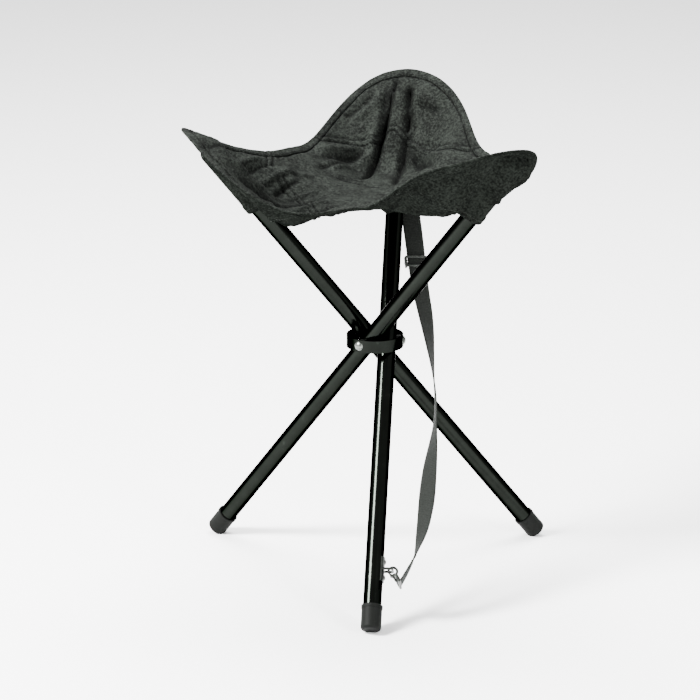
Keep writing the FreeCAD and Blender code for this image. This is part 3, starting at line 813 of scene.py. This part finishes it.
def seat_grid():
    """The seat's directions, and its middle surface: points, normals, distances along the cloth
    from the centre, the hem and the seam, and the painted shade of its creases and grooves.
    """
    direction, shares, reached = seat_stations()
    points = smooth_seat(direction[:, None] + 0 * shares, shares)
    corner, angle, _ = sector_of(direction)
    e, b = flat_place(reached, angle)
    from_hem = reached[:, -1:] - reached
    folds = np.zeros_like(e)
    seam = np.zeros_like(e)
    for index, letter in enumerate(CORNERS):
        own = corner == index
        folds[own] = fold_height(letter, e[own], b[own])
        seam[own] = from_seam(letter, e[own], b[own])
    meeting = smooth((SECTOR / 2 - np.abs(angle)) / MEETING_ANGLE)[:, None]
    near_hem = HEM_CALM_SHARE + (1 - HEM_CALM_SHARE) * smooth(from_hem / HEM_CALM)
    calm = smooth(reached / CENTRE_CALM) * near_hem
    seam_groove = bell((np.abs(seam) - SEAM_WIDTH / 2) / SEAM_GROOVE)
    hem_groove = bell((from_hem - HEM_WIDTH - HEM_GROOVE_GAP) / SEAM_GROOVE)
    groove = seam_groove + hem_groove
    folds = folds * meeting * calm
    lift = folds + (crumple(points) - GROOVE_DEPTH * groove) * calm
    # Painted shade: the cloth's colour is darkened in the seam and hem grooves and in the folds' hollows.
    creases = np.clip(GROOVE_SHADE * groove - folds / SHADE_FOLD_DEPTH, 0.0, 1.0)
    points = points + upward_normals(points) * lift[..., None]
    for index, letter in enumerate(CORNERS):
        points[corner == index] = off_the_tube(letter, points[corner == index])
    return direction, points, upward_normals(points), reached, from_hem, seam, creases


def cloth_thickness(from_hem, seam):
    """The cloth is doubled in the hem and in the felled seam across each corner, and its edge is rounded."""
    hem = smooth((HEM_WIDTH - from_hem) / HEM_STEP + 0.5)
    felled = smooth((SEAM_WIDTH / 2 - np.abs(seam)) / SEAM_STEP + 0.5)
    full = CLOTH + HEM_EXTRA * np.maximum(hem, felled)
    edge = np.clip(from_hem / (full / 2), 0.0, 1.0)
    return full * np.sqrt(np.clip(1 - (1 - edge) ** 2, 0.0, 1.0))


def seat_piece(letter, top, under, flat, creases):
    """One third of the seat as a closed skin from the centre to the hem, its underside in a darker copy of
    the cloth for painted shade.
    """
    rows, columns = top.shape[:2]
    points = np.concatenate([top.reshape(-1, 3), under.reshape(-1, 3)])
    uv = np.concatenate([flat.reshape(-1, 2), flat.reshape(-1, 2)])
    shade = np.concatenate([creases.ravel(), creases.ravel()])
    upper_faces = grid_faces(rows, columns)
    under_faces = grid_faces(rows, columns, rows * columns, True)
    walls = []
    for row in (0, rows - 1):
        wall_top = len(points)
        points = np.concatenate([points, top[row], under[row]])
        uv = np.concatenate([uv, flat[row], flat[row]])
        shade = np.concatenate([shade, creases[row], creases[row]])
        walls += grid_faces(2, columns, wall_top, row == 0)
    piece = make_mesh(f"seat_cloth_{letter}", points, upper_faces + under_faces + walls, uv)
    paint(piece, SEAT_CLOTH)
    # The underside takes the darker copy of the cloth: painted shade.
    piece.data.materials.append(SEAT_UNDERSIDE_SHADE)
    # The painted shade of creases and grooves, which the cloth's colour reads.
    attribute = piece.data.attributes.new("crease", "FLOAT", "POINT")
    attribute.data.foreach_set("value", shade.astype(np.float32))
    for face in piece.data.polygons[len(upper_faces) : len(upper_faces) + len(under_faces)]:
        face.material_index = 1
    drop_flat_faces(piece)
    return piece


def drop_flat_faces(piece):
    """Joins the points that meet, drops faces of no area and keeps the cut sides crisp."""
    data = bmesh.new()
    data.from_mesh(piece.data)
    bmesh.ops.remove_doubles(data, verts=data.verts, dist=1e-7)
    bmesh.ops.dissolve_degenerate(data, dist=1e-7, edges=data.edges)
    for edge in data.edges:
        edge.smooth = edge.calc_face_angle(0.0) < CRISP_ANGLE
    data.to_mesh(piece.data)
    data.free()


def with_corner(piece):
    """Bakes the piece's place into its mesh."""
    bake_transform(piece)


def paint(piece, material):
    """Gives the piece its material."""
    piece.data.materials.append(material)
    return piece


def along_line(length, values, distance):
    """Values at a distance along a line, between those at its points."""
    return np.array([np.interp(distance, length, values[:, i]) for i in range(3)])


def stitches(line, normal):
    """A row of stitches lying on a line of surface points; each dives into the cloth at its ends."""
    steps = np.linalg.norm(np.diff(line, axis=0), axis=1)
    length = np.concatenate([[0.0], np.cumsum(steps)])
    points, faces = [], []
    for k in range(int(length[-1] / STITCH_PITCH)):
        middle = (k + 0.5) * STITCH_PITCH
        half = 0.5 * STITCH_LENGTH
        place = along_line(length, line, middle)
        up = along_line(length, normal, middle)
        up /= np.linalg.norm(up)
        ahead = along_line(length, line, middle + half) - along_line(length, line, middle - half)
        ahead /= max(np.linalg.norm(ahead), 1e-9)
        side = np.cross(ahead, up)
        start = len(points)
        for along, size, lift in STITCH_RINGS:
            centre = place + ahead * along * STITCH_LENGTH + up * lift * STITCH_R
            for t in range(STITCH_SIDES):
                turn = 2 * math.pi * t / STITCH_SIDES
                points.append(centre + STITCH_R * size * (math.cos(turn) * side + math.sin(turn) * up))
        faces += tube_faces(len(STITCH_RINGS), STITCH_SIDES, start)
    return points, faces


def joined(name, parts):
    """One mesh object from several (points, faces)."""
    points, faces = [], []
    for more_points, more_faces in parts:
        start = len(points)
        points += list(more_points)
        faces += [tuple(start + i for i in face) for face in more_faces]
    return make_mesh(name, points, faces)


def level_line(grid, normals, values, level):
    """Where values first cross level along each row of a grid, with the normals there."""
    line, ups = [], []
    for i in range(len(grid)):
        row = values[i]
        crossing = np.nonzero((row[:-1] - level) * (row[1:] - level) <= 0)[0]
        if len(crossing) == 0:
            continue
        j = crossing[0]
        span = row[j + 1] - row[j]
        t = 0.5 if abs(span) < 1e-12 else (level - row[j]) / span
        line.append(grid[i, j] * (1 - t) + grid[i, j + 1] * t)
        ups.append(normals[i, j])
    return np.array(line), np.array(ups)


def sewn_corner(letter, top, under, normal, from_hem, seam):
    """The threads of one corner: two rows round the hem and two pairs along the seam."""
    hem_rows = []
    seam_rows = []
    # The seam's thread stops just short of the hem's edge.
    inside = np.where(from_hem > SEAM_END, seam, -1.0)
    for face, up in ((top, normal), (under, -normal)):
        hem_rows.append(stitches(*level_line(face, up, from_hem, HEM_WIDTH - HEM_STITCH_INSET)))
    for side in (-1, 1):
        for face, up in ((top, normal), (under, -normal)):
            seam_rows.append(stitches(*level_line(face, up, inside, side * SEAM_STITCH_SHARE * SEAM_WIDTH)))
    hem_thread = paint(joined(f"hem_stitches_{letter}", hem_rows), THREAD)
    seam_thread = paint(joined(f"corner_seam_stitches_{letter}", seam_rows), THREAD)
    return [hem_thread, seam_thread]


def make_seat():
    """The seat's three thirds: for each corner the piece, its threads, its underside and hem distances."""
    direction, middle, normal, reached, from_hem, seam, creases = seat_grid()
    half = cloth_thickness(from_hem, seam)[..., None] / 2
    top = middle + normal * half
    under = middle - normal * half
    per_sector = DIRECTIONS // 3
    thirds = {}
    for index, letter in enumerate(CORNERS):
        rows = slice(index * per_sector, (index + 1) * per_sector + 1)
        angle = direction[rows] - CORNER_AZIMUTH - SECTOR * index
        flat = np.stack(flat_place(reached[rows], angle), axis=-1)
        piece = seat_piece(letter, top[rows], under[rows], flat, creases[rows])
        threads = sewn_corner(letter, top[rows], under[rows], normal[rows], from_hem[rows], seam[rows])
        thirds[letter] = (piece, threads, under[rows], from_hem[rows])
    return thirds


# ---- The pockets under the corners -----------------------------------


def pocket_floor(across, station):
    """Height of the pocket's cloth under the tube: round below it and rising steeply at both sides."""
    past_end = np.clip((station - POCKET_END) / POCKET_END_LENGTH, 0.0, 1.0)
    radius = (TUBE_R + POCKET_GAP + CLOTH) * np.sqrt(np.clip(1 - past_end**2, 0.02, 1.0))
    width = np.abs(across)
    touch = radius * math.sin(POCKET_SLOPE)
    round_part = -np.sqrt(np.clip(radius**2 - np.minimum(width, touch) ** 2, 0.0, None))
    line = -radius / math.cos(POCKET_SLOPE) + width * math.tan(POCKET_SLOPE)
    return np.where(width < touch, round_part, line)


def under_corner(letter, under, from_hem):
    """Rows of the seat's underside over the pocket, as (along, across, above) the tube."""
    columns = np.arange(under.shape[1])
    place = to_leg(letter, under)
    station = place[0]
    rows = []
    for i in range(len(under)):
        last = np.interp(-POCKET_INSET, -from_hem[i], columns)
        beyond = np.nonzero(station[i] > POCKET_OPENING)[0]
        if len(beyond) == 0 or beyond[0] >= last - 2:
            continue
        j = beyond[0]
        step = max(station[i, j] - station[i, j - 1], 1e-9)
        at = np.linspace(j - (station[i, j] - POCKET_OPENING) / step, last, POCKET_STEPS)
        rows.append([np.interp(at, columns, values[i]) for values in place])
    return np.array(rows).transpose(1, 0, 2)


def rim_faces(rows, columns):
    """Quads that close the rim between two grids of points, the second right after the first."""
    second = rows * columns
    faces = []
    for i in range(rows - 1):
        a = i * columns
        faces.append((a, a + columns, second + a + columns, second + a))
        a = i * columns + columns - 1
        faces.append((a, second + a, second + a + columns, a + columns))
    for j in range(columns - 1):
        faces.append((j, second + j, second + j + 1, j + 1))
        a = (rows - 1) * columns + j
        faces.append((a, a + 1, second + a + 1, second + a))
    return faces


def make_pocket(letter, under, from_hem):
    """A second cloth under the corner, sewn in with the hem, that wraps the tube; open to the centre."""
    station, across, above = under_corner(letter, under, from_hem)
    seat_side = above - POCKET_UNDER_SEAT
    sides = smooth((np.abs(across) - POCKET_WAVE_FROM) / POCKET_WAVE_FADE)
    wave = POCKET_WAVE * np.sin(across / POCKET_WAVE_LENGTH) * sides
    inner = soft_min(seat_side - np.abs(wave), pocket_floor(across, station), POCKET_SOFTNESS)
    to_edge = smooth(np.linspace(1, 0, POCKET_STEPS) / POCKET_EDGE_SHARE)
    inner = seat_side + (inner - seat_side) * to_edge
    opening = np.linspace(0, 1, POCKET_STEPS) * (station[:, -1:] - station[:, :1])
    hem = smooth((POCKET_HEM_WIDTH - opening) / POCKET_HEM_STEP + 0.5)
    thick = POCKET_CLOTH_THICKNESS + POCKET_HEM_EXTRA * hem
    thick = thick * (POCKET_EDGE_THINNESS + (1 - POCKET_EDGE_THINNESS) * to_edge)
    out, along, upper = leg_axes(letter)
    base = leg_origin(letter) + station[..., None] * along + across[..., None] * out
    first = base + inner[..., None] * upper
    second = base + (inner - thick)[..., None] * upper
    size = station.shape
    points = np.concatenate([first.reshape(-1, 3), second.reshape(-1, 3)])
    flat = np.stack([station, across], axis=-1).reshape(-1, 2)
    faces = grid_faces(*size) + grid_faces(*size, station.size, True) + rim_faces(*size)
    piece = make_mesh(f"corner_pocket_{letter}", points, faces, np.concatenate([flat, flat]))
    # The pocket's cloth is the darker copy: painted shade.
    paint(piece, POCKET_CLOTH_SHADE)
    mouth = second[:, int(POCKET_STEPS * POCKET_STITCH_SHARE)]
    rows = [stitches(mouth, np.broadcast_to(-upper, mouth.shape))]
    thread = paint(joined(f"pocket_hem_stitches_{letter}", rows), THREAD_LIGHTER)
    return piece, thread


# ---- The strap -------------------------------------------------------


def strap_place(outwards, upwards):
    """A point so many millimetres out from leg c's pivot and up along its tube."""
    out, along, _ = leg_axes("c")
    return leg_origin("c") + out * outwards * MM + along * upwards * MM


def strap_line():
    """The strap's smooth centreline, read from the NURBS curve through its route."""
    curve = bpy.data.curves.new("strap_line", "CURVE")
    curve.dimensions = "3D"
    spline = curve.splines.new("NURBS")
    spline.points.add(len(STRAP_ROUTE) - 1)
    for point, place in zip(spline.points, STRAP_ROUTE):
        point.co = (*strap_place(*place), 1.0)
    spline.order_u = 3
    spline.use_endpoint_u = True
    spline.resolution_u = STRAP_STEPS
    holder = link("strap_line", curve)
    bpy.context.view_layer.update()
    mesh = bpy.data.meshes.new_from_object(holder)
    line = np.array([v.co for v in mesh.vertices])
    bpy.data.objects.remove(holder)
    bpy.data.meshes.remove(mesh)
    return line


def strap_frames(line):
    """Share of the length, tangent, width and face directions at every point of the strap's line."""
    steps = np.linalg.norm(np.diff(line, axis=0), axis=1)
    share = np.concatenate([[0.0], np.cumsum(steps)]) / steps.sum()
    tangent = np.gradient(line, axis=0)
    tangent /= np.linalg.norm(tangent, axis=1, keepdims=True)
    out, _, upper = leg_axes("c")
    across = out - (tangent @ out)[:, None] * tangent
    across /= np.linalg.norm(across, axis=1, keepdims=True)
    keys, turns = zip(*STRAP_TWIST)
    turn = eased(np.radians(np.interp(share, keys, turns)), TWIST_EASE_STEPS)[:, None]
    width = np.cos(turn) * across - np.sin(turn) * upper
    face = np.cross(tangent, width)
    return share, tangent, width, face, steps.sum()


def webbing(name, line, width, face, half_width, thickness):
    """A woven band along a line: a flat section with round edges, and ribs as a fine wave."""
    steps = np.linalg.norm(np.diff(line, axis=0), axis=1)
    length = np.concatenate([[0.0], np.cumsum(steps)])
    rib = np.sin(2 * math.pi * length / RIB_PITCH)
    across = np.linspace(-1, 1, WEB_SECTION)
    front = [(a, 0.5 * (1 - EDGE_ROUNDING * a**EDGE_ROUNDING_POWER)) for a in across]
    profile = front + [(a, -t) for a, t in front[::-1]]
    points, uv = [], []
    for i, place in enumerate(line):
        for a, t in profile:
            reach = half_width + RIB_REACH * rib[i] * abs(a) ** RIB_EDGE_POWER
            body = thickness * (1 + RIB_SWELL * rib[i] * math.cos(CORD_WAVES * a))
            points.append(place + width[i] * a * reach + face[i] * t * body)
            uv.append((length[i], a * half_width))
    return make_mesh(name, points, tube_faces(len(line), len(profile)), uv)


def bar(start, end, wide, half_width, half_depth):
    """A straight moulded bar with a softly squared section and rounded ends, as (points, faces)."""
    ahead = (end - start) / np.linalg.norm(end - start)
    deep = np.cross(wide, ahead)
    points = []
    for along, size in BAR_RINGS:
        base = (start if along < 0 else end) + ahead * along * half_width
        for k in range(BAR_SIDES):
            turn = 2 * math.pi * (k + 0.5) / BAR_SIDES
            x = math.copysign(abs(math.cos(turn)) ** BAR_SQUARENESS, math.cos(turn))
            y = math.copysign(abs(math.sin(turn)) ** BAR_SQUARENESS, math.sin(turn))
            points.append(base + size * (x * half_width * wide + y * half_depth * deep))
    return points, tube_faces(len(BAR_RINGS), BAR_SIDES)


def make_slider(line, tangent, width, face):
    """The strap's adjuster: a frame round the webbing, its middle bar behind and its outer bars in front."""
    middle = np.array(strap_place(*SLIDER_PLACE))
    i = np.argmin(np.linalg.norm(line - middle, axis=1))
    centre, ahead, across, front = line[i], tangent[i], width[i], face[i]
    if front[1] > 0:
        front = -front
    half_long = SLIDER_HALF_LENGTH * ahead
    half_wide = SLIDER_HALF_WIDTH * across
    parts = []
    for rail in (centre - half_wide, centre + half_wide):
        parts.append(bar(rail - half_long, rail + half_long, across, SLIDER_BAR_R, SLIDER_RAIL_DEPTH))
    for step, lift in ((-1, 1), (0, -1), (1, 1)):
        rung = centre + step * half_long + lift * SLIDER_BAR_LIFT * front
        parts.append(bar(rung - half_wide, rung + half_wide, ahead, SLIDER_BAR_R, SLIDER_BAR_R))
    slider = paint(joined("strap_adjuster", parts), SLIDER_PLASTIC)
    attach(slider, "slider")
    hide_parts("strap_slider")
    return slider


def strap_stitches(line, share, width, face):
    """Rows of stitches across the webbing where its ends are sewn."""
    rows = []
    for place in STRAP_SEWN_AT:
        i = np.argmin(np.abs(share - place))
        for side in (-1, 1):
            across = np.linspace(-0.5, 0.5, SEWN_STEPS)[:, None] * SEWN_WIDTH
            row = line[i] + width[i] * across + face[i] * side * SEWN_LIFT
            rows.append(stitches(row, np.broadcast_to(side * face[i], row.shape)))
    thread = paint(joined("strap_stitches", rows), THREAD_LIGHTER)
    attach(thread, "leg_c")
    return thread


def make_strap():
    """The strap with its sewing and its adjuster; also returns its line and its length."""
    line = strap_line()
    share, tangent, width, face, length = strap_frames(line)
    strap = webbing("carry_strap", line, width, face, STRAP_WIDTH / 2, STRAP_THICKNESS)
    paint(strap, WEBBING)
    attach(strap, "leg_c")
    on_strap = [make_slider(line, tangent, width, face), strap_stitches(line, share, width, face)]
    return strap, line, length, on_strap


# ---- Stage, light and camera -----------------------------------------


def turned(x, y, z):
    """A place turned about the stool's axis with the camera."""
    cos_turn = math.cos(CAMERA_TURN)
    sin_turn = math.sin(CAMERA_TURN)
    return (x * cos_turn - y * sin_turn, x * sin_turn + y * cos_turn, z)


def make_camera():
    data = bpy.data.cameras.new("camera")
    data.lens = CAMERA_LENS
    data.sensor_width = CAMERA_SENSOR
    data.clip_end = CAMERA_REACH
    camera = bpy.data.objects.new("camera", data)
    back = -CAMERA_DISTANCE * math.cos(CAMERA_DROP)
    rise = CAMERA_HEIGHT + CAMERA_DISTANCE * math.sin(CAMERA_DROP)
    camera.location = turned(CAMERA_SIDE, back, rise)
    camera.rotation_euler = (math.pi / 2 - CAMERA_DROP, 0.0, CAMERA_TURN)
    bpy.context.scene.collection.objects.link(camera)
    bpy.context.scene.camera = camera


def make_light(name, place, target, size, power):
    data = bpy.data.lights.new(name, "AREA")
    data.shape = "RECTANGLE"
    data.size, data.size_y = size
    data.energy = power
    light = bpy.data.objects.new(name, data)
    light.location = turned(*place)
    aim = Vector(target) - light.location
    light.rotation_euler = aim.to_track_quat("-Z", "Y").to_euler()
    bpy.context.scene.collection.objects.link(light)


def make_studio():
    """A seamless pale floor, a white surround and soft boxes."""
    corners = [(x * FLOOR_HALF, y * FLOOR_HALF, 0.0) for x, y in ((-1, -1), (1, -1), (1, 1), (-1, 1))]
    floor = make_mesh("floor", corners, [(0, 1, 2, 3)])
    n = Nodes("pale_floor")
    n.set("Base Color", (FLOOR_TONE, FLOOR_TONE, FLOOR_TONE, 1.0))
    n.set("Roughness", 0.9)
    floor.data.materials.append(n.material)
    world = bpy.data.worlds.new("studio")
    world.use_nodes = True
    surround = world.node_tree.nodes["Background"]
    surround.inputs["Color"].default_value = (1.0, 1.0, 1.0, 1.0)
    surround.inputs["Strength"].default_value = SURROUND
    bpy.context.scene.world = world
    for light in LIGHTS:
        make_light(*light)


# ---- Everything together ---------------------------------------------


def add_seat():
    """Makes the seat and its pockets, hides the imported seat's nodes and bakes each piece's place."""
    for letter, (piece, threads, under, from_hem) in make_seat().items():
        pocket, pocket_thread = make_pocket(letter, under, from_hem)
        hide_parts("seat_panel")
        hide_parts(f"seat_pocket_{letter}")
        for part in (piece, pocket, *threads, pocket_thread):
            with_corner(part)


def declare_strap(strap, line, length, on_strap):
    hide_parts("strap")


make_camera()
made_strap = make_strap()
finish_cad_nodes()
add_seat()
declare_strap(*made_strap)
make_studio()
